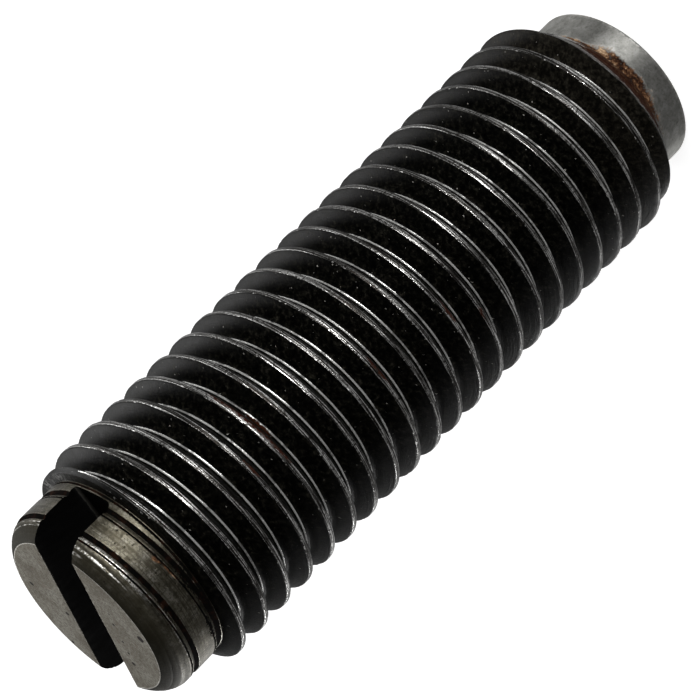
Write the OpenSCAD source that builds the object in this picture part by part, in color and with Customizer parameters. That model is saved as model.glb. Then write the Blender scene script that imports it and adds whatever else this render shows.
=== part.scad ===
// Valve adjusting screw: a headless set screw turned and threaded from one piece
// of steel. A right-hand thread runs almost its whole length. Past a shoulder the
// driven end is turned down until only the bottom of the thread still marks it,
// and it is sawn across for a screwdriver. The other end is a plain round point.
// Millimetres. The point stands on z = 0 and +Z runs along the axis to the slot,
// which lies along X.

/* [Size] */
// Overall length, from the point's end face to the slotted face
overall_length = 31.5; // [20:0.1:60]
// Outside diameter over the thread crests
major_diameter = 9.76; // [9:0.01:11]

/* [Thread] */
// Thread pitch
thread_pitch = 1.25; // [1:0.05:1.5]
// Width of the flat on a crest
crest_width = 0.2; // [0.1:0.01:0.3]
// Radius at the bottom of the thread, between its 60 degree flanks
root_radius = 0.17; // [0.1:0.01:0.25]

/* [Point] */
// Diameter of the plain point
point_diameter = 7.4; // [6:0.02:8]
// Length of the plain point, up to the tapered start of the thread
point_length = 1.52; // [0.8:0.01:5]
// Bevel round the point's end face
point_bevel = 0.12; // [0.05:0.01:0.5]

/* [Slotted end] */
// Diameter of the turned-down end
end_diameter = 8.44; // [7:0.02:8.8]
// Length of the turned-down end, from the shoulder to the slotted face
end_length = 2.62; // [2:0.01:5]
// Fillet at the foot of the shoulder
shoulder_fillet = 0.15; // [0.05:0.01:0.25]
// Width of the rounded edge, measured across the slotted face
edge_width = 0.65; // [0.3:0.01:0.8]
// Height of the rounded edge, measured along the axis
edge_height = 0.86; // [0.4:0.01:1]
// Radius of the rounded edge
edge_radius = 1.1; // [0.7:0.05:3]

/* [Driver slot] */
// Width of the slot
slot_width = 2; // [1:0.05:2.4]
// Depth of the slot in its middle
slot_depth = 2.85; // [1:0.05:3.2]
// Radius left in the corners of the slot's floor
slot_corner = 0.2; // [0.1:0.05:0.4]
// Diameter of the saw that cut the slot, which leaves its floor hollow
saw_diameter = 44; // [30:1:80]

/* [Hidden] */
$fn = 120;
seg = 40;                    // straight steps in one turn of the thread
L = overall_length;
P = thread_pitch;
R = major_diameter / 2;
rd = point_diameter / 2;
re = end_diameter / 2;
f = shoulder_fillet;
phase = 0.086;               // height of a crest's middle over the X axis
ra = rd + 0.35 * (R - rd);   // the taper's radius where the threaded body begins
za = point_length + ra - rd - 0.03;
zb = L - end_length;         // the shoulder
zn = zb + f;                 // top of its fillet

// one pitch of the thread, from the lower edge of a crest: height, radius
v1 = crest_width / 2;
rroot = R - (P / 2 - v1) * sqrt(3) + root_radius;
round_up = root_radius / 2;
v2 = v1 + (R - rroot - round_up) * tan(30);
prof = [[-v1, R], [v1, R], [v2, rroot + round_up], [P / 2, rroot], [P - v2, rroot + round_up]];
K = len(prof);
n0 = floor(za / P) - 2;
n1 = ceil(L / P) + 1;
M = (n1 - n0 + 1) * K;
core = min(ra - 0.03, rroot * cos(180 / seg) - 0.015);

// the full thread's radius at height z in column j of a turn
function from_crest(j, z) =
    let (v = (z - phase) / P - j / seg) P * abs(v - round(v));
function full_r(j, z) =
    let (a = from_crest(j, z))
    a < v1 ? R : a < v2 ? R + (rroot + round_up - R) * (a - v1) / (v2 - v1) :
    rroot + round_up * (P / 2 - a) / (P / 2 - v2);
// the turned end's radius, with the fillet at its foot
function end_r(z) = z < zn ? re + f - sqrt(f * f - pow(zn - z, 2)) : re;
// the taper that leads the thread in
function lead(z) = ra + (z - za);

function raw_z(j, i) = phase + P * (j / seg + n0 + floor(i / K)) + prof[i % K][0];
function raw_r(i) = prof[i % K][1];
function first_over(j, z) = min([for (i = [0 : M - 1]) if (raw_z(j, i) > z) i]);
lows = [for (j = [0 : seg - 1]) first_over(j, za + 0.004) - 1];
highs = [for (j = [0 : seg - 1]) first_over(j, zb - 0.004)];
ups = [for (j = [0 : seg - 1]) first_over(j, zn + 0.004)];
tops = [for (j = [0 : seg - 1]) first_over(j, L - 0.004)];

// A column holds the thread's rows from za to zb, the shoulder, its fillet in two
// steps, and then the rows from zn to L, where only the root still cuts.
function turned_r(j, z) = min(full_r(j, z), end_r(z));
function zr(j, i) =
    i <= lows[j] ? [za, ra] :
    i < highs[j] ? [raw_z(j, i), min(raw_r(i), lead(raw_z(j, i)))] :
    i < M ? [zb, max(full_r(j, zb), turned_r(j, zb) + 0.01)] :
    i == M ? [zb, turned_r(j, zb)] :
    i == M + 1 ? [zb + f * 0.3, turned_r(j, zb + f * 0.3)] :
    i - M - 2 < ups[j] ? [zn, turned_r(j, zn)] :
    i - M - 2 < tops[j] ? [raw_z(j, i - M - 2), min(raw_r(i - M - 2), re)] :
    [L, turned_r(j, L)];
last = 2 * M + 1;
function at(j, i) = j * (last + 1) + (
    i < M ? max(lows[j], min(highs[j], i)) :
    i < M + 2 ? i : M + 2 + max(ups[j] - 1, min(tops[j], i - M - 2)));
// the same row one column on; after a full turn a thread's row lies one pitch up
function to(j, i) =
    j < seg - 1 ? at(j + 1, i) :
    i < M ? at(0, min(M - 1, i + K)) :
    i < M + 2 ? at(0, i) : at(0, min(last, i + K));
function tri(a, b, c) = (a == b || b == c || a == c) ? [] : [[a, b, c]];

module thread() {
    pts = [for (j = [0 : seg - 1]) for (i = [0 : last])
        let (q = zr(j, i), t = 360 * j / seg) [q[1] * cos(t), q[1] * sin(t), q[0]]];
    sides = [for (j = [0 : seg - 1]) for (i = [0 : last - 1])
        let (a = at(j, i), b = to(j, i), c = to(j, i + 1), d = at(j, i + 1))
        each concat(tri(a, d, c), tri(a, c, b))];
    bottom = [for (j = [0 : seg - 1]) at(j, 0)];
    top = [for (j = [seg - 1 : -1 : 0]) at(j, last)];
    polyhedron(pts, concat(sides, [bottom, top]), convexity = 12);
}

// the plain point, the taper above it and a core that reaches into the thread
module point() {
    rotate_extrude()
        polygon(concat([[0, 0], [rd - point_bevel, 0], [rd, point_bevel], [rd, point_length],
            [ra - 0.03, za]], core < ra - 0.03 ? [[core, za]] : [], [[core, za + 1], [0, za + 1]]));
}

// what is turned off round the slotted face: an arc through both ends of the edge
module edge_break() {
    chord = norm([edge_width, edge_height]);
    half = asin(min(1, chord / 2 / edge_radius));
    slope = atan2(edge_width, edge_height);
    cx = min(re, R) - edge_radius * cos(slope - half);
    cz = L - edge_height - edge_radius * sin(slope - half);
    arc = [for (k = [0 : 8]) let (t = slope - half + 2 * half * k / 8)
        [cx + edge_radius * cos(t), cz + edge_radius * sin(t)]];
    rotate_extrude()
        polygon(concat([arc[0] + (arc[0] - arc[1])], arc, [arc[8] + (arc[8] - arc[7]),
            [R + 1, L + 1], [R + 1, L - edge_height]]));
}

module slot() {
    rs = saw_diameter / 2;
    translate([0, 0, L - slot_depth + rs]) rotate([90, 0, 0]) rotate_extrude($fn = 240) {
        translate([0, -slot_width / 2]) square([rs - slot_corner, slot_width]);
        translate([0, -slot_width / 2 + slot_corner]) square([rs, slot_width - 2 * slot_corner]);
        for (y = [-1, 1])
            translate([rs - slot_corner, y * (slot_width / 2 - slot_corner)])
                circle(slot_corner, $fn = 32);
    }
}

module adjusting_screw() {
    color("dimgray") difference() {
        union() {
            thread();
            point();
        }
        edge_break();
        slot();
    }
}

adjusting_screw();
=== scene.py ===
"""Looks of the valve adjusting screw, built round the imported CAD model.

One turned and threaded piece: the mesh follows the CAD solid's sizes and adds
what a faceted solid can't carry, such as true flanks, rounded roots, broken
edges, tool marks, nicks and the stains where the oxide gave way. Sizes below
are in millimetres; the mesh is scaled to metres at the end.
"""
import math

import bmesh
import bpy
import numpy as np
from mathutils import Matrix, Vector, noise


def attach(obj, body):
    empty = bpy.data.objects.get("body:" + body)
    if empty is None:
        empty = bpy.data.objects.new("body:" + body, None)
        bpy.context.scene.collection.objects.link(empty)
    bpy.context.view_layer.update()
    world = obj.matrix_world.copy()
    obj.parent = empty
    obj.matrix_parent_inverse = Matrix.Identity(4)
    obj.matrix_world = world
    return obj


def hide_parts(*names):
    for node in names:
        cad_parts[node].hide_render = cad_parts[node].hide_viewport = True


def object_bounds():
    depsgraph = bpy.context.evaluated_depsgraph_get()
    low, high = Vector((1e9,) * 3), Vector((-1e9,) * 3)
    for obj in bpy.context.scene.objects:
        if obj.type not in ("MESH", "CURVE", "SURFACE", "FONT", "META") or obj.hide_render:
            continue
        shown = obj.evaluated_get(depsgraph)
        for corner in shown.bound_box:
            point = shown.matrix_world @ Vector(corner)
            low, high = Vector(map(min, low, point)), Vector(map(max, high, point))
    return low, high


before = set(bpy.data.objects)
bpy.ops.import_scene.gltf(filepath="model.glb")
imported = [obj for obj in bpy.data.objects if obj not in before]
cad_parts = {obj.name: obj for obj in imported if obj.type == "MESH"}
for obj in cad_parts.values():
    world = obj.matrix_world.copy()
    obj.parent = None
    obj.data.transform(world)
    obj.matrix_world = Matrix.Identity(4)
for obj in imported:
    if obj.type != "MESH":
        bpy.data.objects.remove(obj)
cad_lo, cad_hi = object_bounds()

MM = 0.001
L = cad_hi.z / MM                           # overall length
R = (cad_hi.x - cad_lo.x) / MM / 2          # outside radius over the crests

# Thread: pitch, width of a crest's flat, radius of the root, height of a crest's middle over the X axis
PITCH, CREST, ROOT_R, PHASE = 1.25, 0.2, 0.17, 0.086
TAN60, COS30 = math.tan(math.radians(60)), math.cos(math.radians(30))
DEPTH = (PITCH / 2 - CREST / 2) * TAN60 - ROOT_R
CROWN = 0.004                               # how far a crest's flat falls off to its sides
BREAK_IN, BREAK_OUT = 0.022, 0.03           # reach of the broken edge to both sides of a crest's corner
BREAK_CURVE = 14.0
# Plain point: radius, length, bevel. Turned end: radius, length, fillet at its foot.
RD, POINT_LEN, BEVEL = 3.70, 1.52, 0.12
RE, END_LEN, FILLET = 4.22, 2.62, 0.15
# Rounded edge of the slotted face, and the tool lines near it: depth below the face, width, depth of the line
EDGE_W, EDGE_H, EDGE_R = 0.65, 0.86, 1.1
TOOL_LINES = ((0.46, 0.13, 0.020), (0.27, 0.09, 0.016))
# The thread's trace on the turned end, over one pitch: the root, then a second fine line
TRACE_AT = [0.448, 0.455, 0.575, 0.610, 0.752, 0.778, 0.800, 0.840, 0.862]
TRACE_CUT = [0.0, -0.010, -0.104, -0.104, -0.004, -0.002, -0.040, -0.036, 0.0]
# Driver slot: width, depth, radius in the floor's corners, radius of the saw
SLOT_W, SLOT_D, SLOT_R, SAW_R = 2.0, 2.85, 0.2, 22.0
HALF_SLOT = SLOT_W / 2

RA = RD + 0.35 * (R - RD)                   # the taper's radius where the threaded body begins
ZA, ZB = POINT_LEN + RA - RD - 0.03, L - END_LEN    # foot of the threaded body, and the shoulder
ZC = ZB + 0.10                              # where the slotted end is joined on
S = 180                                     # columns in one turn
MERGE = 0.004                               # thread rows this near to either end become part of it
CAM_AZ, CAM_EL, CAM_ROLL, CAM_DIST = -44.6, 24.6, 135.18, 0.1150


def azimuth(across):
    """Part azimuth, in degrees, of a line that lies `across` degrees round from the one facing the camera."""
    return CAM_AZ - across


def wobble(x, y, z, scale, seed):
    """Smooth noise, about -1 to 1, at points given in millimetres."""
    out = np.empty(x.size)
    off = Vector((seed * 17.3, seed * 5.1, seed * 9.7))
    for i, p in enumerate(zip(x.ravel(), y.ravel(), z.ravel())):
        out[i] = noise.noise(Vector(p) * scale + off)
    return out.reshape(x.shape)


# ------------------------------------------------------------------- profiles
def in_pitch(z, turn):
    """Height above the middle of the crest below, from 0 to one pitch, at `turn` of a full turn."""
    return (z - PHASE - PITCH * turn) % PITCH


def full_thread(z, turn):
    """Radius of the unbroken thread: crest flats with broken edges, 60 degree flanks and a root arc."""
    v = in_pitch(z, turn)
    a = np.minimum(v, PITCH - v)
    flank = R - (a - CREST / 2) * TAN60
    da = PITCH / 2 - a
    root = (R - DEPTH) + ROOT_R - np.sqrt(np.maximum(ROOT_R ** 2 - da ** 2, 0))
    r = np.where(da < ROOT_R * COS30, root, flank)
    crown = R - CROWN * (a / (CREST / 2)) ** 2
    edge = R - CROWN - BREAK_CURVE * (a - CREST / 2 + BREAK_IN) ** 2
    r = np.where(a < CREST / 2 - BREAK_IN, crown, np.where(a < CREST / 2 + BREAK_OUT, edge, r))
    return np.minimum(r, R)


def turned_end(z):
    """Radius of the turned-down end: fillet, land, and rounded edge with its V-shaped tool lines."""
    r = RE + FILLET - np.sqrt(np.maximum(FILLET ** 2 - np.clip(ZB + FILLET - z, 0, FILLET) ** 2, 0))
    chord = math.hypot(EDGE_W, EDGE_H)
    half, slope = math.asin(chord / 2 / EDGE_R), math.atan2(EDGE_W, EDGE_H)
    cx, cz = RE - EDGE_R * math.cos(slope - half), L - EDGE_H - EDGE_R * math.sin(slope - half)
    arc = cx + np.sqrt(np.maximum(EDGE_R ** 2 - (z - cz) ** 2, 0))
    r = np.where(z > L - EDGE_H, np.minimum(arc, r), r)
    for below, width, depth in TOOL_LINES:
        r = r - depth * np.clip(1 - np.abs(z - (L - below)) / (width / 2), 0, 1)
    return r


def thread_body(z, turn):
    """The threaded body, tapered where it starts, with uneven flanks and small nicks in its crests."""
    uneven, nick_from, nick_depth, dent_from, dent_depth = 0.006, 0.46, 0.10, 0.30, 0.05
    r = np.minimum(full_thread(z, turn), RA + (z - ZA))
    a = 2 * math.pi * turn
    x, y = r * np.cos(a), r * np.sin(a)
    slow, fine, nick = wobble(x, y, z, 0.55, 1), wobble(x, y, z, 3.2, 2), wobble(x, y, z, 2.3, 3)
    top = np.clip((r - (R - 0.09)) / 0.07, 0, 1)
    r = r + (uneven * slow + uneven * fine) * (1 - top)
    r = r - top * (np.clip(nick - nick_from, 0, 1) * nick_depth + np.clip(fine - dent_from, 0, 1) * dent_depth)
    return np.minimum(r, R)


def end_body(z, turn):
    """The turned end, which the bottom of the thread still marks."""
    mark = np.interp(in_pitch(z, turn), TRACE_AT, TRACE_CUT)
    r = np.minimum(np.minimum(full_thread(z, turn) + 0.03, RE + mark), turned_end(z))
    a = 2 * math.pi * turn
    fine = wobble(r * np.cos(a), r * np.sin(a), z, 3.0, 5)
    return r + 0.003 * fine


def broken_corner(limit):
    """Radius near the shoulder, where the thread's outer corner is worn down to `limit`."""
    return lambda z, turn: np.maximum(np.minimum(full_thread(z, turn), limit), end_body(z, turn) + 0.01)


# ---------------------------------------------------------------- mesh helpers
verts, faces = [], []
TURN = np.arange(S) / S


def add(rr, zz, j):
    """A new vertex in column j."""
    a = 2 * math.pi * j / S
    verts.append((rr * math.cos(a), rr * math.sin(a), zz))
    return len(verts) - 1


def ring_at(zz, radius):
    """A new ring of vertices at one height."""
    rr = radius(np.full(S, zz), TURN) if callable(radius) else np.full(S, float(radius))
    return [add(rr[j], zz, j) for j in range(S)]


def skin(ring, rings, up=True):
    """Carries a ring of vertices along (height, radius) rings."""
    for zz, radius in rings:
        new = ring_at(zz, radius)
        for j in range(S):
            k = (j + 1) % S
            faces.append([ring[j], ring[k], new[k], new[j]] if up else [ring[k], ring[j], new[j], new[k]])
        ring = new
    return ring


def helix(ring, z_lo, z_hi, rows, radius):
    """Carries a ring at z_lo up to z_hi on rows that climb one pitch a turn."""
    k_rows = len(rows)
    n0, n1 = math.floor(z_lo / PITCH) - 2, math.ceil(z_hi / PITCH) + 1
    lift = np.tile(rows, n1 - n0 + 1) + PITCH * np.repeat(np.arange(n0, n1 + 1), k_rows)
    z = PHASE + PITCH * TURN[:, None] + lift[None, :]
    m = z.shape[1]
    r = radius(z, np.broadcast_to(TURN[:, None], z.shape))
    top = ring_at(z_hi, radius)
    ids = np.zeros((S, m), int)
    for j in range(S):
        lo = np.nonzero(z[j] <= z_lo + MERGE)[0].max()
        hi = np.nonzero(z[j] >= z_hi - MERGE)[0].min()
        ids[j, :lo + 1] = ring[j]
        ids[j, hi:] = top[j]
        for i in range(lo + 1, hi):
            ids[j, i] = add(r[j, i], z[j, i], j)
    for j in range(S):
        for i in range(m - 1):
            a, d = ids[j, i], ids[j, i + 1]
            if j < S - 1:
                b, c = ids[j + 1, i], ids[j + 1, i + 1]
            else:                           # after a full turn a row lies one pitch up
                b, c = ids[0, min(m - 1, i + k_rows)], ids[0, min(m - 1, i + 1 + k_rows)]
            loop = [q for w, q in enumerate((a, b, c, d)) if q != (a, b, c, d)[w - 1]]
            if len(set(loop)) >= 3:
                faces.append([int(q) for q in loop])
    return top


def mesh_object(name, points, polys):
    me = bpy.data.meshes.new(name)
    me.from_pydata([tuple(p) for p in points], [], polys)
    me.validate()
    me.update()
    ob = bpy.data.objects.new(name, me)
    bpy.context.scene.collection.objects.link(ob)
    return ob


# ------------------------------------------------------------------- the body
# Rows of the mesh over one pitch, as heights above a crest's middle
ROWS = np.array([-0.130, -0.104, -0.080, 0.080, 0.104, 0.130, 0.220, 0.310, 0.400,
                 0.478, 0.550, 0.625, 0.700, 0.772, 0.870, 1.000])
start = ring_at(ZA, thread_body)
ring = helix(start, ZA, ZB - 0.12, ROWS, thread_body)
skin(ring, [(ZB - 0.05, broken_corner(R - 0.22)), (ZB, broken_corner(R - 0.28)), (ZB, end_body),
            (ZB + 0.015, end_body), (ZB + 0.045, end_body), (ZC, end_body)])

# Down the taper and round its foot, then the point's side, its bevel and its end face
rows = [(POINT_LEN + 0.20, RA - 0.18), (POINT_LEN + 0.05, RD + 0.055), (POINT_LEN + 0.02, RD + 0.022),
        (POINT_LEN - 0.02, RD + 0.004), (POINT_LEN - 0.08, RD)]
rows += [(h, RD) for h in (1.2, 0.95, 0.7, 0.45, 0.25)]
rows += [(BEVEL + 0.03, RD), (BEVEL, RD - 0.006), (BEVEL * 0.5, RD - BEVEL * 0.42), (0.02, RD - BEVEL * 0.86),
         (0.0, RD - BEVEL)]
rows += [(0.0, q) for q in (3.0, 2.2, 1.3, 0.5)]
inner = skin(start, rows, up=False)
tip = len(verts)
verts.append((0, 0, 0))
for j in range(S):
    faces.append([inner[(j + 1) % S], inner[j], tip])
body_verts, body_faces = verts, faces

# ------------------------------------------------------------ the slotted end
# It is closed below by a plug inside the body, deep enough to hold the slot's floor.
PLUG_R, PLUG_Z = 4.0, L - 3.3
END_ROWS = np.array([0.000, 0.150, 0.300, 0.400, 0.440, 0.455, 0.490, 0.530, 0.568, 0.585, 0.608, 0.630, 0.690,
                     0.748, 0.765, 0.780, 0.798, 0.820, 0.842, 0.864, 0.930, 1.050, 1.150])
TRACE_END = L - 0.57                        # the trace stops here, and level rings begin
RIM_ROWS = [0.53, 0.497, 0.478, 0.46, 0.442, 0.423, 0.395, 0.36, 0.33, 0.302, 0.285, 0.27, 0.255, 0.238,
            0.21, 0.17, 0.12, 0.08, 0.045, 0.018]     # below the face
RF = RE - EDGE_W                            # radius of the slotted face
verts, faces = [], []
ring = ring_at(PLUG_Z, PLUG_R)
faces.append(list(reversed(ring)))
ring = skin(ring, [(ZC, PLUG_R), (ZC, end_body), (ZB + FILLET, end_body)])
ring = helix(ring, ZB + FILLET, TRACE_END, END_ROWS, end_body)
ring = skin(ring, [(L - below, lambda z, turn: turned_end(z)) for below in RIM_ROWS])
ring = skin(ring, [(L, RF), (L, RF - 0.04)])
faces.append(ring)
end_ob = mesh_object("end_blank", verts, faces)

# The saw that cuts the slot: slightly uneven walls, a hollow floor with a rounded corner along each side,
# and a small ragged break where the walls leave the face.
CUTS, WALL_ROWS, CORNER_ROWS = 170, 9, 6
LIP = 0.06                                  # how far below the face the break begins
MOUTH = ((0.35, 0.4), (0.040, 0.012), (0.014, -0.018), (0.002, -LIP))    # outside the wall, above the face
FLOOR_ROWS = (0.45, 0.15)                   # out from the slot's middle


def floor_height(x):
    """Height of the slot's floor at distance x along the slot; x is a number or an array."""
    return L - SLOT_D + SAW_R - np.sqrt(SAW_R ** 2 - x * x)


def ripple(amount, x, y, z):
    return amount * noise.noise(Vector((x, y, z)))


cut_v, cut_f = [], []
for x in np.linspace(-R - 0.6, R + 0.6, CUTS):
    zf = floor_height(x)
    section = []
    for s in (-1, 1):
        rc = SLOT_R * (1.35 if s < 0 else 1.0)
        part = [(HALF_SLOT + out, L + up) for out, up in MOUTH]
        part += [(HALF_SLOT, L - LIP - (L - LIP - zf - rc) * k / WALL_ROWS) for k in range(1, WALL_ROWS + 1)]
        part += [(HALF_SLOT - rc * (1 - math.cos(a)), zf + rc * (1 - math.sin(a)))
                 for a in np.linspace(0, math.pi / 2, CORNER_ROWS + 1)[1:]]
        part += [(q, zf) for q in FLOOR_ROWS]
        section.append([(s * p, q) for p, q in part])
    for y, z in section[0] + section[1][::-1]:
        if z < L + 0.2:
            s = math.copysign(1.0, y)
            w = ripple(0.010, x * 1.1, s * 3.0, z * 0.5) + ripple(0.008, x * 4.2, s * 7.0, z * 2.2)
            if z > L - 0.05:
                w += ripple(0.014, x * 6.5, s * 11.0, 0.3)
            if z < zf + 0.1:
                z += ripple(0.006, x * 2.5, y * 2.5, 4.0)
            if abs(y) > HALF_SLOT * 0.6:
                y += s * w
        cut_v.append((x, y, z))
m = len(cut_v) // CUTS
for a in range(CUTS - 1):
    for b in range(m):
        c = (b + 1) % m
        cut_f.append([a * m + b, (a + 1) * m + b, (a + 1) * m + c, a * m + c])
cut_f.append(list(range(m)))
cut_f.append([(CUTS - 1) * m + b for b in reversed(range(m))])
cut_ob = mesh_object("slot_cutter", cut_v, cut_f)
for ob in (end_ob, cut_ob):
    bm = bmesh.new()
    bm.from_mesh(ob.data)
    bmesh.ops.recalc_face_normals(bm, faces=bm.faces)
    bm.to_mesh(ob.data)
    bm.free()
mod = end_ob.modifiers.new("slot", "BOOLEAN")
mod.operation, mod.solver, mod.object = "DIFFERENCE", "EXACT", cut_ob
bpy.context.view_layer.update()
cut_end = bpy.data.meshes.new_from_object(end_ob.evaluated_get(bpy.context.evaluated_depsgraph_get()))
bpy.data.objects.remove(cut_ob)
bpy.data.objects.remove(end_ob)

# -------------------------------------------------- one closed mesh of it all
# The plug goes, and the two parts are welded where they meet.
LEVEL = 1e-4
end_bm = bmesh.new()
end_bm.from_mesh(cut_end)
spare = [f for f in end_bm.faces
         if all(w.co.z < ZC + LEVEL and math.hypot(w.co.x, w.co.y) > PLUG_R - 0.02 for w in f.verts)
         or all(abs(w.co.z - PLUG_Z) < LEVEL for w in f.verts)]
bmesh.ops.delete(end_bm, geom=spare, context="FACES")
end_bm.to_mesh(cut_end)
end_bm.free()
screw = mesh_object("screw", body_verts, body_faces)
bm = bmesh.new()
bm.from_mesh(screw.data)
bm.from_mesh(cut_end)
bmesh.ops.remove_doubles(bm, verts=bm.verts, dist=2e-4)
bmesh.ops.dissolve_degenerate(bm, edges=bm.edges, dist=1e-5)
bmesh.ops.recalc_face_normals(bm, faces=bm.faces)

THREAD, TURNED, SLOT, FACE = 0, 1, 2, 3     # the order in which the materials are added
for f in bm.faces:
    c = f.calc_center_median()
    rr = math.hypot(c.x, c.y)
    sawn = (ZC < c.z < L - 0.03 and abs(c.y) < HALF_SLOT + 0.02 and abs(f.normal.x) < 0.7) or (
        L - SLOT_D - 0.1 < c.z <= ZC and rr < PLUG_R - 0.05)
    f.material_index = (SLOT if sawn else FACE if f.normal.z > 0.98 and c.z > L - 0.02 else
                        TURNED if c.z > ZB + 0.003 or c.z < ZA - 0.02 else THREAD)
    f.smooth = True
bad = [e for e in bm.edges if len(e.link_faces) != 2]
print("open or shared edges:", len(bad), "faces:", len(bm.faces),
      "triangles:", sum(len(f.verts) - 2 for f in bm.faces))
bm.to_mesh(screw.data)
bm.free()
bpy.data.meshes.remove(cut_end)
me = screw.data
me.set_sharp_from_angle(angle=math.radians(38))

# ------------------------------------------------------- wear, rust, grime and painted highlights
co = np.zeros(len(me.vertices) * 3)
me.vertices.foreach_get("co", co)
co = co.reshape(-1, 3)
rad = np.hypot(co[:, 0], co[:, 1])
ang = np.degrees(np.arctan2(co[:, 1], co[:, 0]))
hgt = co[:, 2]
climb = in_pitch(hgt, ang / 360)            # height in the thread's pitch, crest middle to crest middle
on_end = (hgt > ZB + 0.02) & (rad > RE - 0.7)
on_thread = (hgt > ZA - 0.02) & (hgt < ZB + 0.001) & (rad > RE - 0.2)
on_shoulder = (np.abs(hgt - ZB) < 0.002) & (rad > RE - 0.2)

# Each patch below (stains, worn spots, and painted highlights on the rounded edge): height, degrees from the
# line that faces the camera, half height, half width in degrees.
# The first one also has an inner radius, and stays outside it.
RUST_SPOTS = ((2.05, 2, 0.42, 38, 3.85), (1.50, 6, 0.20, 38), (1.68, -2, 0.18, 42), (1.20, 0, 0.05, 20),
              (1.52, -34, 0.08, 18), (23.58, -12, 0.14, 16), (23.63, -25, 0.11, 8), (23.53, 5, 0.11, 13),
              (23.15, -6, 0.12, 9), (18.5, 14, 0.14, 10), (14.75, 19, 0.12, 8), (17.2, -57, 0.12, 5),
              (24.85, 6, 0.10, 6), (13.6, 30, 0.10, 5), (L - 1.92, 4, 0.07, 2.2), (L - 2.00, 12, 0.04, 5),
              (11.0, 150, 0.15, 10), (20.4, 120, 0.15, 8), (7.4, -130, 0.15, 9), (1.4, 175, 0.22, 22))
GRIME_SPOTS = ((ZB + 0.30, 22, 0.22, 16), (ZB + 0.45, 52, 0.14, 12), (ZB + 0.30, -40, 0.12, 9),
               (ZB + 0.62, 6, 0.10, 7), (L - 1.02, -8, 0.10, 8), (L - 0.98, 26, 0.09, 14),
               (ZB + 0.16, 68, 0.22, 18), (ZB + 0.4, 130, 0.2, 20), (ZB + 0.3, -140, 0.2, 24))
NECK_GRIME = (ZB + 0.10, 76, 0.20, 22)
EDGE_HIGHLIGHTS = ((L - 0.43, -21, 0.032, 18), (L - 0.24, -31, 0.030, 5))
HIGHLIGHT_SPOT = (L - 0.72, -16, 0.17, 24)
BROWN_SPOT = (L - 0.72, 66, 0.16, 30)
DULL_TAPER = (2.5, -75, 0.6, 26)
WORN_SHOULDER = (ZB, -78, 0.3, 34)


def patch(h, across, half_h, half_a, inner=0.0):
    """0 to 1: a soft oval patch, given as above, for stains, worn spots and painted highlights."""
    da = (ang - azimuth(across) + 180) % 360 - 180
    d = np.sqrt(((hgt - h) / half_h) ** 2 + (da / half_a) ** 2)
    return np.clip(1.5 - d, 0, 1) * (rad >= inner)


def patches(spots):
    """Several patches together, such as stains and painted highlights."""
    return np.max([patch(*spot) for spot in spots], axis=0)


def band(values, lo, hi, soft):
    """1 between lo and hi, with soft edges."""
    return np.clip((values - lo) / soft, 0, 1) * np.clip((hi - values) / soft, 0, 1)


crest = np.clip((rad - (R - 0.055)) / 0.04, 0, 1)
taper = np.clip((2.72 - hgt) / 0.1, 0, 1) * (np.abs(rad - (RA + hgt - ZA)) < 0.03)
wear = np.where(on_thread, np.maximum(crest, 0.60 * taper), 1.0)
wear *= 1 - 0.8 * np.clip(1.5 * patch(*DULL_TAPER), 0, 1)
wear = np.where(on_shoulder, np.maximum(wear * (rad > R - 0.1), 0.50 * patch(*WORN_SHOULDER)), wear)
lead = np.maximum(np.clip((3.4 - hgt) / 0.3, 0, 1), on_shoulder)
rust = patches(RUST_SPOTS)
deep = np.clip((hgt - 1.52) / 0.14, 0, 1) * (hgt < 3)

# Dirt lies in the thread's trace, in the fine line beside it, and round the neck.
grime = np.maximum(1.2 * band(climb, 0.445, 0.615, 0.015), 1.1 * band(climb, 0.775, 0.860, 0.012))
grime *= on_end & (hgt < L - 0.55) & (rad < RE - 0.004)
grime = np.maximum(grime, band(hgt, ZB, ZB + 0.13, 0.02) * on_end)
grime = np.maximum(grime, 0.62 * patches(GRIME_SPOTS) * on_end)
grime = np.maximum(grime, patch(*NECK_GRIME) * on_end)

across_slot = np.abs(co[:, 1])
corner = band(across_slot, HALF_SLOT - SLOT_R * 0.9, HALF_SLOT - SLOT_R * 0.05, 0.03)
corner = corner * (hgt < floor_height(co[:, 0]) + SLOT_R * 1.3) * (rad < RE)
upper = np.clip((hgt - ZB + 0.05) / 0.05, 0, 1)
shiny_and_highlight = np.maximum(band(climb, 0.755, 0.790, 0.010), band(climb, 0.855, 0.900, 0.012))
shiny_and_highlight = shiny_and_highlight * on_end * (hgt > L - 1.3)
# a painted highlight: a brighter spot on the rounded edge where the front lamp's highlight falls
shiny_and_highlight = np.maximum(shiny_and_highlight, np.clip(1.4 * patch(*HIGHLIGHT_SPOT), 0, 1) * on_end)
# painted highlights: bright streaks on the rounded edge where the front lamp's highlight falls; the brown
# stain is taken off them
highlight_streaks = np.clip(1.5 * patches(EDGE_HIGHLIGHTS), 0, 1) * on_end
brown = np.clip((hgt - (L - 0.64)) / 0.20, 0, 1)
brown = np.maximum(brown, 0.65 * patch(*BROWN_SPOT)) * (1 - 0.9 * highlight_streaks)
polished_and_highlight = np.maximum(np.clip(1.4 - np.abs(hgt - BEVEL) / 0.05, 0, 1), highlight_streaks)

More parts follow.
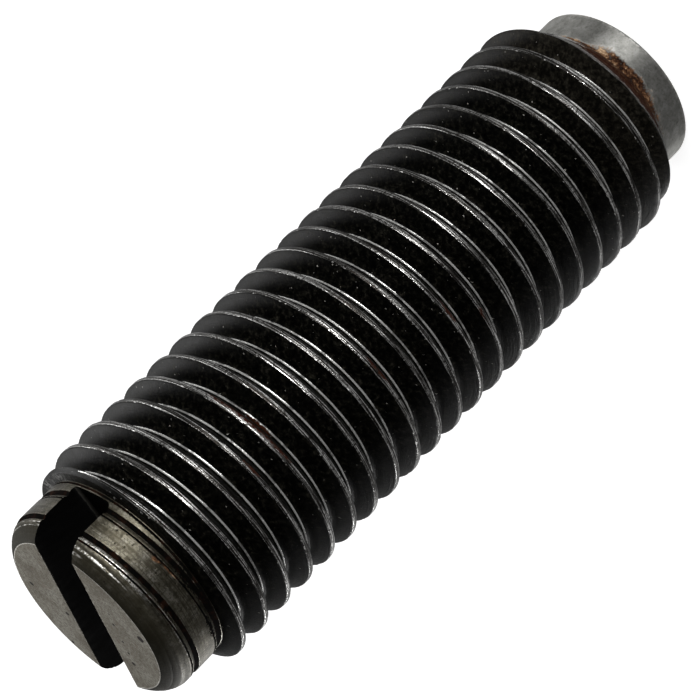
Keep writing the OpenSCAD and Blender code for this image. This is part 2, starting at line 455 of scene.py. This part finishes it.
MASKS = {
    "wear": wear,                           # oxide rubbed off the crests, the taper and part of the shoulder
    "lead": lead,                           # where wear isn't held to the middle of a crest
    "rust": rust,
    "grime": grime,
    "corner": corner,                       # rubbed corners of the slot's floor
    "upper": upper,                         # the turned end, and not the point
    "brown": brown,                         # brown stain on the rounded edge
    "polished_and_highlight": polished_and_highlight,                   # the point's polished bevel, and painted highlight streaks on the rounded edge
    "deep": deep,                           # old dark rust on the taper
    "shiny_and_highlight": shiny_and_highlight,                         # both sides of the fine line, and a painted highlight spot above them
    "helix_c": np.cos(2 * math.pi * climb / PITCH),
    "helix_s": np.sin(2 * math.pi * climb / PITCH),
}
for name, values in MASKS.items():
    layer = me.attributes.new(name, "FLOAT", "POINT")
    layer.data.foreach_set("value", values.astype(np.float32))


# -------------------------------------------------------------------- shaders
# Ramps are lists of (position, linear colour).
RUST = [(0.46, (0.008, 0.0035, 0.002)), (0.52, (0.038, 0.017, 0.009)),
        (0.58, (0.105, 0.054, 0.027)), (0.65, (0.340, 0.240, 0.150))]
THREAD_OXIDE = [(0.38, (0.0003, 0.0003, 0.0003)), (0.50, (0.0010, 0.0010, 0.0008)),
                (0.60, (0.0055, 0.0052, 0.0040)), (0.74, (0.0260, 0.0235, 0.0180))]
CREST_STEEL = [(0.41, (0.010, 0.009, 0.008)), (0.48, (0.050, 0.048, 0.045)),
               (0.54, (0.220, 0.217, 0.208)), (0.62, (0.700, 0.696, 0.685))]
POINT_STEEL = [(0.32, (0.190, 0.190, 0.178)), (0.50, (0.282, 0.281, 0.264)), (0.68, (0.372, 0.370, 0.354))]
END_STEEL = [(0.34, (0.055, 0.049, 0.034)), (0.50, (0.125, 0.116, 0.090)), (0.66, (0.230, 0.218, 0.188))]
FACE_STEEL = [(0.36, (0.112, 0.094, 0.062)), (0.48, (0.170, 0.153, 0.112)), (0.60, (0.245, 0.232, 0.188))]
SLOT_OXIDE_AND_SHADE = [(0.3, (0.0003, 0.0003, 0.0003)), (0.6, (0.0009, 0.0009, 0.0008)), (0.85, (0.005, 0.0045, 0.004))]
GROOVE_DIRT = [(0.50, (0.0010, 0.0009, 0.0007)), (0.66, (0.011, 0.0042, 0.0022))]
DUST, SPECK = (0.032, 0.028, 0.021), (0.26, 0.25, 0.23)
CREST_STAIN, CREST_RUST = (0.014, 0.012, 0.010), (0.020, 0.0055, 0.003)
BURNISHED, BURR = (0.56, 0.555, 0.54), (0.66, 0.65, 0.63)
POINT_STAIN, RING_STAIN, END_STAIN = (0.110, 0.105, 0.092), (0.032, 0.028, 0.018), (0.040, 0.036, 0.026)
EDGE_BROWN, OLD_RUST, END_PIT = (0.014, 0.0125, 0.008), (0.020, 0.008, 0.005), (0.012, 0.010, 0.007)
GLINT, GLEAM = (0.50, 0.48, 0.44), (0.58, 0.57, 0.54)
FACE_STAIN, FACE_GLINT, FACE_BROWN = (0.090, 0.073, 0.046), (0.50, 0.48, 0.43), (0.120, 0.072, 0.040)
FACE_PIT, FACE_RIM, SLOT_RUBBED = (0.014, 0.007, 0.005), (0.52, 0.50, 0.45), (0.05, 0.047, 0.040)


def add_node(tree, kind, **props):
    """A new node in a tree, with its properties set."""
    nd = tree.nodes.new(kind)
    for key, val in props.items():
        setattr(nd, key, val)
    return nd


def set_ramp(nd, stops):
    """Gives a colour ramp its stops, each a position and a colour."""
    els = nd.color_ramp.elements
    while len(els) < len(stops):
        els.new(0.5)
    for e, (pos, col) in zip(els, stops):
        e.position = pos
        e.color = (*col, 1)


class Nodes:
    """Short helpers for one material's node tree. Values are numbers, colours or other nodes' outputs."""

    def __init__(self, name):
        self.mat = bpy.data.materials.new(name)
        self.mat.use_nodes = True
        self.tree = self.mat.node_tree
        self.bsdf = self.tree.nodes["Principled BSDF"]
        self.co = self.node("ShaderNodeTexCoord").outputs["Object"]
        self.mm = self.scaled(1, 1, 1)

    def node(self, kind, **props):
        return add_node(self.tree, kind, **props)

    def link(self, a, b):
        self.tree.links.new(a, b)

    def put(self, val, socket):
        if isinstance(val, tuple):
            socket.default_value = (*val, 1)
        elif isinstance(val, (int, float)):
            socket.default_value = val
        else:
            self.link(val, socket)

    def shade(self, **values):
        """Sets inputs of the surface; an underscore stands for a space."""
        for name, val in values.items():
            self.put(val, self.bsdf.inputs[name.replace("_", " ")])

    def scaled(self, sx, sy, sz):
        """Object coordinates in millimetres, times the given scale."""
        m = self.node("ShaderNodeMapping")
        m.inputs["Scale"].default_value = (sx / MM, sy / MM, sz / MM)
        self.link(self.co, m.inputs["Vector"])
        return m.outputs["Vector"]

    def xyz(self):
        """The three object coordinates in millimetres."""
        parts = self.node("ShaderNodeSeparateXYZ")
        self.link(self.mm, parts.inputs[0])
        return parts.outputs

    def vector(self, x, y):
        v = self.node("ShaderNodeCombineXYZ")
        self.put(x, v.inputs[0])
        self.put(y, v.inputs[1])
        return v.outputs[0]

    def add(self, a, b):
        """The sum of two vectors."""
        v = self.node("ShaderNodeVectorMath", operation="ADD")
        self.link(a, v.inputs[0])
        self.link(b, v.inputs[1])
        return v.outputs[0]

    def noise(self, vec, scale=1.0, detail=4.0, rough=0.6, distort=0.0):
        t = self.node("ShaderNodeTexNoise")
        self.link(vec, t.inputs["Vector"])
        for key, val in (("Scale", scale), ("Detail", detail), ("Roughness", rough), ("Distortion", distort)):
            t.inputs[key].default_value = val
        return t.outputs["Fac"]

    def spots(self, stir_by, stir, dims, scale, spread, least):
        """Scattered cells, stirred by noise: distance from a cell's middle, its own size, its own number."""
        cells = self.node("ShaderNodeTexVoronoi", voronoi_dimensions=dims)
        cells.inputs["Scale"].default_value = scale
        self.link(self.add(self.mm, self.mul(stir_by, stir)), cells.inputs["Vector"])
        own = self.node("ShaderNodeSeparateColor")
        self.link(cells.outputs["Color"], own.inputs[0])
        size = self.math("MULTIPLY_ADD", self.math("POWER", own.outputs[1], 3.0), spread, least)
        return cells.outputs["Distance"], size, own.outputs[0]

    def attr(self, name):
        return self.node("ShaderNodeAttribute", attribute_name=name).outputs["Fac"]

    def math(self, op, *values, clamp=False):
        m = self.node("ShaderNodeMath", operation=op, use_clamp=clamp)
        for val, socket in zip(values, m.inputs):
            self.put(val, socket)
        return m.outputs[0]

    def mul(self, *factors):
        """The product of two or more values."""
        out = factors[0]
        for factor in factors[1:]:
            out = self.math("MULTIPLY", out, factor)
        return out

    def step(self, val, lo, hi, out_lo=0.0, out_hi=1.0):
        m = self.node("ShaderNodeMapRange", interpolation_type="SMOOTHSTEP")
        self.link(val, m.inputs["Value"])
        for key, q in zip(("From Min", "From Max", "To Min", "To Max"), (lo, hi, out_lo, out_hi)):
            m.inputs[key].default_value = q
        return m.outputs["Result"]

    def frayed(self, mask, by, amount, shift, lo, hi):
        """A mask cut between lo and hi, after noise of some amount is added to it, so its border is uneven."""
        return self.step(self.math("ADD", mask, self.math("MULTIPLY_ADD", by, amount, shift)), lo, hi)

    def ramp(self, fac, stops):
        rp = self.node("ShaderNodeValToRGB")
        self.link(fac, rp.inputs["Fac"])
        set_ramp(rp, stops)
        return rp.outputs["Color"]

    def mix(self, fac, a, b):
        m = self.node("ShaderNodeMix", data_type="RGBA")
        for val, socket in ((fac, m.inputs["Factor"]), (a, m.inputs[6]), (b, m.inputs[7])):
            self.put(val, socket)
        return m.outputs[2]

    def mixf(self, fac, a, b):
        m = self.node("ShaderNodeMix", data_type="FLOAT")
        for val, socket in ((fac, m.inputs["Factor"]), (a, m.inputs[2]), (b, m.inputs[3])):
            self.put(val, socket)
        return m.outputs[0]

    def bumps(self, *layers):
        """Bumps, one on the other, each with its height, strength, and distance in millimetres."""
        normal = None
        for height, strength, distance in layers:
            b = self.node("ShaderNodeBump")
            self.put(strength, b.inputs["Strength"])
            b.inputs["Distance"].default_value = distance * MM
            self.link(height, b.inputs["Height"])
            if normal is not None:
                self.link(normal, b.inputs["Normal"])
            normal = b.outputs["Normal"]
        self.shade(Normal=normal)

    def lathed(self, amount):
        """Highlights stretched along the axis, as tool lines that run round the part do."""
        tangent = self.node("ShaderNodeTangent", direction_type="RADIAL", axis="Z")
        self.shade(Tangent=tangent.outputs[0], Anisotropic=amount, Anisotropic_Rotation=0.25)


def thread_material():
    """Black-oxide flanks, and crests rubbed back to bright steel."""
    n = Nodes("oxide_thread")
    mul, step, attr = n.mul, n.step, n.attr
    grain = n.noise(n.mm, 8, 5, 0.65)
    fine = n.noise(n.mm, 17, 3, 0.6)
    blot = n.noise(n.mm, 5.0, 6, 0.75, 0.3)
    height = n.xyz()[2]
    # lines that run along the helix
    swirl = n.vector(mul(attr("helix_c"), 5.0), mul(attr("helix_s"), 5.0))
    streak = n.noise(n.add(n.scaled(0.7, 0.7, 0.7), swirl), 1.0, 4, 0.62)
    uneven = n.math("ADD", mul(grain, 0.10), mul(streak, 0.06))
    middle = n.math("MAXIMUM", step(n.math("ADD", attr("helix_c"), uneven), 0.965, 0.985), attr("lead"))
    bright = mul(n.frayed(attr("wear"), grain, 0.9, -0.45, 0.42, 0.66), middle)
    # dust, thickest on the turns nearest the point
    oxide = n.ramp(blot, THREAD_OXIDE)
    dust = mul(step(height, 6.5, 1.8), step(blot, 0.40, 0.66, 0.18, 1.0), 0.42)
    oxide = n.mix(dust, oxide, DUST)
    # bright specks of all sizes, mostly very small
    distance, size, number = n.spots(grain, 0.25, "3D", 4.5, 0.12, 0.03)
    speck = mul(n.math("LESS_THAN", distance, size), n.math("GREATER_THAN", number, 0.55))
    oxide = n.mix(speck, oxide, SPECK)
    steel = n.ramp(streak, CREST_STEEL)
    steel = n.mix(step(grain, 0.52, 0.60, 0.0, 0.85), steel, CREST_STAIN)
    # burrs beside some of the crests
    burr = mul(step(attr("helix_s"), 0.30, 0.42), step(attr("helix_c"), 0.855, 0.895),
               step(n.noise(n.mm, 4.5, 3, 0.7), 0.60, 0.65))
    # the very bottom of the thread was burnished by the die
    root = mul(step(attr("helix_c"), -0.955, -0.980), step(streak, 0.36, 0.50, 0.3, 0.9),
               step(n.noise(n.mm, 1.1, 4, 0.7), 0.42, 0.50, 0.25, 1.0))
    col = n.mix(bright, oxide, steel)
    col = n.mix(root, col, BURNISHED)
    col = n.mix(burr, col, BURR)
    # on the crests bright metal shows through the rust in points
    bare = mul(step(grain, 0.53, 0.59), step(height, 3.5, 4.0))
    rust = mul(n.frayed(attr("rust"), blot, 1.4, -0.7, 0.45, 0.75), n.math("MULTIPLY_ADD", bare, -0.9, 1.0))
    rusty = n.mix(n.math("MULTIPLY_ADD", attr("deep"), 0.02, 0.80), n.ramp(grain, RUST), CREST_RUST)
    metal = n.math("MAXIMUM", n.math("MAXIMUM", bright, root), burr)
    metal = mul(metal, n.math("SUBTRACT", 1.0, rust))
    rough = n.mixf(bright, step(blot, 0.3, 0.8, 0.38, 0.52), step(grain, 0.3, 0.8, 0.24, 0.36))
    rough = n.mixf(root, rough, 0.22)
    # the oxide's specular level falls from the crests to the roots: painted shade in the thread's hollows
    n.shade(Base_Color=n.mix(rust, col, rusty), Metallic=metal, Roughness=n.mixf(rust, rough, 0.85),
            Specular_IOR_Level=step(attr("helix_c"), -0.8, 0.7, 0.010, 0.060))
    n.lathed(mul(metal, 0.75))
    n.bumps((blot, 0.5, 0.016), (streak, 0.55, 0.016), (grain, 0.5, 0.014), (fine, 0.4, 0.006))
    return n.mat


def turned_material():
    """Bare turned steel: fine rings, pits, dirt in the grooves, and rust."""
    n = Nodes("turned_steel")
    mul, step, attr = n.mul, n.step, n.attr
    rings = n.noise(n.scaled(0.25, 0.25, 14), 1.0, 4, 0.7)
    lines = n.noise(n.scaled(0.2, 0.2, 9), 1.0, 2, 0.5)
    grain = n.noise(n.mm, 9, 5, 0.65)
    fine = n.noise(n.mm, 18, 3, 0.65)
    cloud = n.noise(n.mm, 2.2, 5, 0.65, 0.3)
    pit = step(n.noise(n.mm, 7, 2, 0.5), 0.64, 0.72)
    lower = n.ramp(cloud, POINT_STEEL)
    lower = n.mix(step(grain, 0.50, 0.66, 0.0, 0.45), lower, POINT_STAIN)
    upper = n.ramp(cloud, END_STEEL)
    upper = n.mix(step(rings, 0.40, 0.58, 0.75, 0.0), upper, RING_STAIN)
    steel = n.mix(attr("upper"), lower, upper)
    steel = n.mix(mul(step(grain, 0.46, 0.62, 0.12, 0.8), attr("upper")), steel, END_STAIN)
    steel = n.mix(mul(attr("brown"), 0.86), steel, EDGE_BROWN)
    glint = mul(step(fine, 0.60, 0.68), step(grain, 0.48, 0.40))
    steel = n.mix(mul(glint, attr("upper")), steel, GLINT)
    # brighter metal on the polished bevel and along the fine line, and painted highlights on the rounded edge
    gleam = n.math("ADD", attr("polished_and_highlight"), mul(attr("shiny_and_highlight"), step(lines, 0.47, 0.53)))
    gleam = n.math("MULTIPLY", gleam, step(grain, 0.42, 0.58), clamp=True)
    steel = n.mix(gleam, steel, GLEAM)
    steel = n.mix(mul(pit, attr("upper"), 0.8), steel, END_PIT)
    # dirt in the grooves, then rust
    dirt = n.frayed(attr("grime"), grain, 1.3, -0.65, 0.38, 0.58)
    col = n.mix(dirt, steel, n.ramp(cloud, GROOVE_DIRT))
    flaky = n.math("ADD", mul(grain, 0.45), mul(cloud, 0.60))
    rust = n.frayed(attr("rust"), flaky, 2.2, -1.15, 0.25, 0.85)
    rusty = n.mix(mul(attr("deep"), 0.70), n.ramp(flaky, RUST), OLD_RUST)
    cover = n.math("MAXIMUM", rust, dirt)
    metal = mul(n.math("SUBTRACT", 1.0, cover), n.math("MULTIPLY_ADD", attr("brown"), -0.65, 1.0))
    rough = n.mixf(attr("brown"), step(grain, 0.3, 0.8, 0.36, 0.50), 0.66)
    n.shade(Base_Color=n.mix(rust, col, rusty), Metallic=metal, Roughness=n.mixf(cover, rough, 0.95),
            Specular_IOR_Level=0.03)
    n.lathed(mul(metal, 0.72))
    n.bumps((rings, n.mixf(attr("upper"), 0.15, 0.55), 0.010),
            (grain, n.mixf(attr("upper"), 0.38, 0.60), 0.012),
            (fine, n.mixf(attr("upper"), 0.15, 0.55), 0.007),
            (pit, n.mixf(attr("upper"), 0.1, 0.6), -0.012))
    return n.mat


def face_material():
    """The slotted face: flat, a little rough, with brown blotches, small dark pits and a bright ragged rim."""
    n = Nodes("faced_steel")
    step = n.step
    grain = n.noise(n.mm, 8, 5, 0.7)
    fine = n.noise(n.mm, 18, 3, 0.65)
    cloud = n.noise(n.mm, 0.9, 5, 0.7, 0.5)
    distance, size, _ = n.spots(grain, 0.10, "2D", 1.3, 0.34, -0.09)
    pit = step(n.math("SUBTRACT", size, distance), -0.02, 0.03)
    steel = n.ramp(cloud, FACE_STEEL)
    steel = n.mix(step(grain, 0.44, 0.62, 0.0, 0.72), steel, FACE_STAIN)
    steel = n.mix(step(fine, 0.60, 0.68, 0.0, 0.7), steel, FACE_GLINT)
    brown = step(n.noise(n.mm, 2.6, 4, 0.7), 0.56, 0.68, 0.0, 0.45)
    steel = n.mix(brown, steel, FACE_BROWN)
    steel = n.mix(pit, steel, FACE_PIT)
    # how far a point is from the slot's edge, or from the rounded edge if that is nearer
    x, y, _ = n.xyz()
    out = n.node("ShaderNodeVectorMath", operation="LENGTH")
    n.link(n.vector(x, y), out.inputs[0])
    inset = n.math("MINIMUM", n.math("SUBTRACT", n.math("ABSOLUTE", y), HALF_SLOT),
                   n.math("SUBTRACT", RF, out.outputs["Value"]))
    rim = n.frayed(inset, grain, 0.16, -0.08, 0.045, 0.020)
    n.shade(Base_Color=n.mix(rim, steel, FACE_RIM), Metallic=n.math("MULTIPLY_ADD", pit, -0.9, 1.0),
            Roughness=n.mixf(rim, step(grain, 0.3, 0.8, 0.42, 0.58), 0.30), Specular_IOR_Level=0.05)
    n.bumps((grain, 0.5, 0.012), (fine, 0.4, 0.006), (pit, 0.6, -0.012))
    return n.mat


def slot_material():
    """Sawn slot, black with oxide and darkened further as painted shade, rubbed thin along the two corners of
    its floor.
    """
    n = Nodes("oxide_and_shade_slot")
    lines = n.noise(n.scaled(0.5, 14, 14), 1.0, 3, 0.6)
    grain = n.noise(n.mm, 9, 5, 0.65)
    rubbed = n.frayed(n.attr("corner"), grain, 0.6, -0.3, 0.4, 0.8)
    # the oxide is darkened past its own colour here, as painted shade in the slot
    n.shade(Base_Color=n.mix(rubbed, n.ramp(grain, SLOT_OXIDE_AND_SHADE), SLOT_RUBBED), Metallic=n.mul(rubbed, 0.8),
            Roughness=n.step(grain, 0.3, 0.8, 0.45, 0.65), Specular_IOR_Level=0.03)
    n.bumps((lines, 0.4, 0.010), (grain, 0.35, 0.010))
    return n.mat


for mat in (thread_material(), turned_material(), slot_material(), face_material()):
    me.materials.append(mat)

me.transform(Matrix.Scale(MM, 4))
me.update()
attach(screw, "root")
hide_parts("adjusting_screw")


# ------------------------------------------------------------- floor and light
FLOOR_GREY, FLOOR_SIZE = (0.60, 0.60, 0.60, 1), 3.0
SEEN, MIRRORED = 0.83, 0.05                 # the floor's glow to the camera, and in reflections


def floor_material():
    """Grey to the light, and white to the camera."""
    mat = bpy.data.materials.new("pale_floor")
    mat.use_nodes = True
    tree = mat.node_tree
    tree.nodes.clear()
    diff = add_node(tree, "ShaderNodeBsdfDiffuse")
    diff.inputs["Color"].default_value = FLOOR_GREY
    glow = add_node(tree, "ShaderNodeEmission")
    glow.inputs["Color"].default_value = (1, 1, 1, 1)
    path = add_node(tree, "ShaderNodeLightPath")
    strength = add_node(tree, "ShaderNodeMath", operation="ADD")
    for socket, ray, share in zip(strength.inputs, ("Is Camera Ray", "Is Glossy Ray"), (SEEN, MIRRORED)):
        part = add_node(tree, "ShaderNodeMath", operation="MULTIPLY")
        part.inputs[1].default_value = share
        tree.links.new(path.outputs[ray], part.inputs[0])
        tree.links.new(part.outputs[0], socket)
    both = add_node(tree, "ShaderNodeAddShader")
    out = add_node(tree, "ShaderNodeOutputMaterial")
    tree.links.new(strength.outputs[0], glow.inputs["Strength"])
    tree.links.new(diff.outputs[0], both.inputs[0])
    tree.links.new(glow.outputs[0], both.inputs[1])
    tree.links.new(both.outputs[0], out.inputs["Surface"])
    return mat


bm = bmesh.new()
bmesh.ops.create_grid(bm, x_segments=1, y_segments=1, size=FLOOR_SIZE)
floor_me = bpy.data.meshes.new("floor")
bm.to_mesh(floor_me)
bm.free()
floor = bpy.data.objects.new("floor", floor_me)
bpy.context.scene.collection.objects.link(floor)
floor_me.materials.append(floor_material())

# A studio whose wall behind the part is bright low down, and which is dark above and to the front.
WALL = ((0.0, 0.85), (0.58, 0.85), (0.70, 0.35), (0.80, 0.08), (1.0, 0.045))    # sine of elevation, grey
WALL_ACROSS = -148                          # middle of the bright wall, in degrees across from the camera
WALL_DARK, WALL_LIGHT = 0.42, 0.90          # dark below the one and bright above the other, as cosines
DARKENED = 0.93                             # share of the light that the dark part has lost
world = bpy.data.worlds.new("studio")
bpy.context.scene.world = world
world.use_nodes = True
wt = world.node_tree
wt.nodes.clear()
w_out = add_node(wt, "ShaderNodeOutputWorld")
w_bg = add_node(wt, "ShaderNodeBackground")
w_co = add_node(wt, "ShaderNodeTexCoord")
w_xyz = add_node(wt, "ShaderNodeSeparateXYZ")
w_ramp = add_node(wt, "ShaderNodeValToRGB")
w_path = add_node(wt, "ShaderNodeLightPath")
w_mix = add_node(wt, "ShaderNodeMix", data_type="RGBA")
w_dim = add_node(wt, "ShaderNodeMix", data_type="RGBA", blend_type="MULTIPLY")
w_dot = add_node(wt, "ShaderNodeVectorMath", operation="DOT_PRODUCT")
w_side = add_node(wt, "ShaderNodeMapRange", interpolation_type="SMOOTHSTEP")
set_ramp(w_ramp, [(pos, (grey, grey, grey)) for pos, grey in WALL])
wall_az = math.radians(azimuth(WALL_ACROSS))
w_dot.inputs[1].default_value = (math.cos(wall_az), math.sin(wall_az), 0)
for key, val in (("From Min", WALL_DARK), ("From Max", WALL_LIGHT), ("To Min", DARKENED), ("To Max", 0.0)):
    w_side.inputs[key].default_value = val
w_dim.inputs[7].default_value = (0, 0, 0, 1)
w_mix.inputs[7].default_value = (1, 1, 1, 1)      # what the camera sees of it
for a, b in ((w_co.outputs["Generated"], w_xyz.inputs[0]),
             (w_co.outputs["Generated"], w_dot.inputs[0]),
             (w_xyz.outputs["Z"], w_ramp.inputs["Fac"]),
             (w_dot.outputs["Value"], w_side.inputs["Value"]),
             (w_side.outputs["Result"], w_dim.inputs["Factor"]),
             (w_ramp.outputs["Color"], w_dim.inputs[6]),
             (w_path.outputs["Is Camera Ray"], w_mix.inputs["Factor"]),
             (w_dim.outputs[2], w_mix.inputs[6]),
             (w_mix.outputs[2], w_bg.inputs["Color"]),
             (w_bg.outputs[0], w_out.inputs["Surface"])):
    wt.links.new(a, b)

MIDDLE = Vector((0, 0, 0.01656))            # what the lamps and the camera are placed round, in metres


def around(az, el, dist):
    a, e = math.radians(az), math.radians(el)
    return MIDDLE + dist * Vector((math.cos(a) * math.cos(e), math.sin(a) * math.cos(e), math.sin(e)))


def lamp(name, across, el, dist, width, height, power):
    data = bpy.data.lights.new(name, "AREA")
    data.shape, data.size, data.size_y, data.energy = "RECTANGLE", width, height, power
    ob = bpy.data.objects.new(name, data)
    ob.location = around(azimuth(across), el, dist)
    ob.rotation_euler = (MIDDLE - ob.location).to_track_quat("-Z", "Y").to_euler()
    ob.visible_camera = False
    bpy.context.scene.collection.objects.link(ob)


lamp("front_low", -25, 6, 0.40, 0.22, 0.06, 2.10)
lamp("side_left", -98, 8, 0.45, 0.30, 0.08, 0.68)
lamp("rim_left", -143, 33, 0.45, 0.22, 0.16, 0.72)
lamp("side_right", 132, 3, 0.45, 0.26, 0.04, 1.20)

# --------------------------------------------------------------------- camera
SENSOR, LENS = 36.0, 154.8
AIM_LEFT, AIM_UP = 0.000037, 0.000045       # how far the camera stands off the middle, in metres
cam_data = bpy.data.cameras.new("camera")
cam_data.sensor_width, cam_data.lens = SENSOR, LENS
cam_data.clip_start, cam_data.clip_end = 0.002, 20.0
cam = bpy.data.objects.new("camera", cam_data)
left = math.radians(azimuth(-90))
shift = Vector((AIM_LEFT * math.cos(left), AIM_LEFT * math.sin(left), AIM_UP))
cam.location = around(CAM_AZ, CAM_EL, CAM_DIST) + shift
ahead = (MIDDLE + shift - cam.location).normalized()
plumb = (Vector((0, 0, 1)) - ahead * ahead.z).normalized()
side = ahead.cross(plumb)
roll = math.radians(CAM_ROLL)
up = plumb * math.cos(roll) + side * math.sin(roll)
right = ahead.cross(up)
cam.matrix_world = Matrix.Translation(cam.location) @ Matrix((
    (right.x, up.x, -ahead.x, 0), (right.y, up.y, -ahead.y, 0), (right.z, up.z, -ahead.z, 0), (0, 0, 0, 1)))
bpy.context.scene.collection.objects.link(cam)
bpy.context.scene.camera = cam
bpy.context.scene.view_settings.view_transform = "Standard"

bpy.context.view_layer.update()
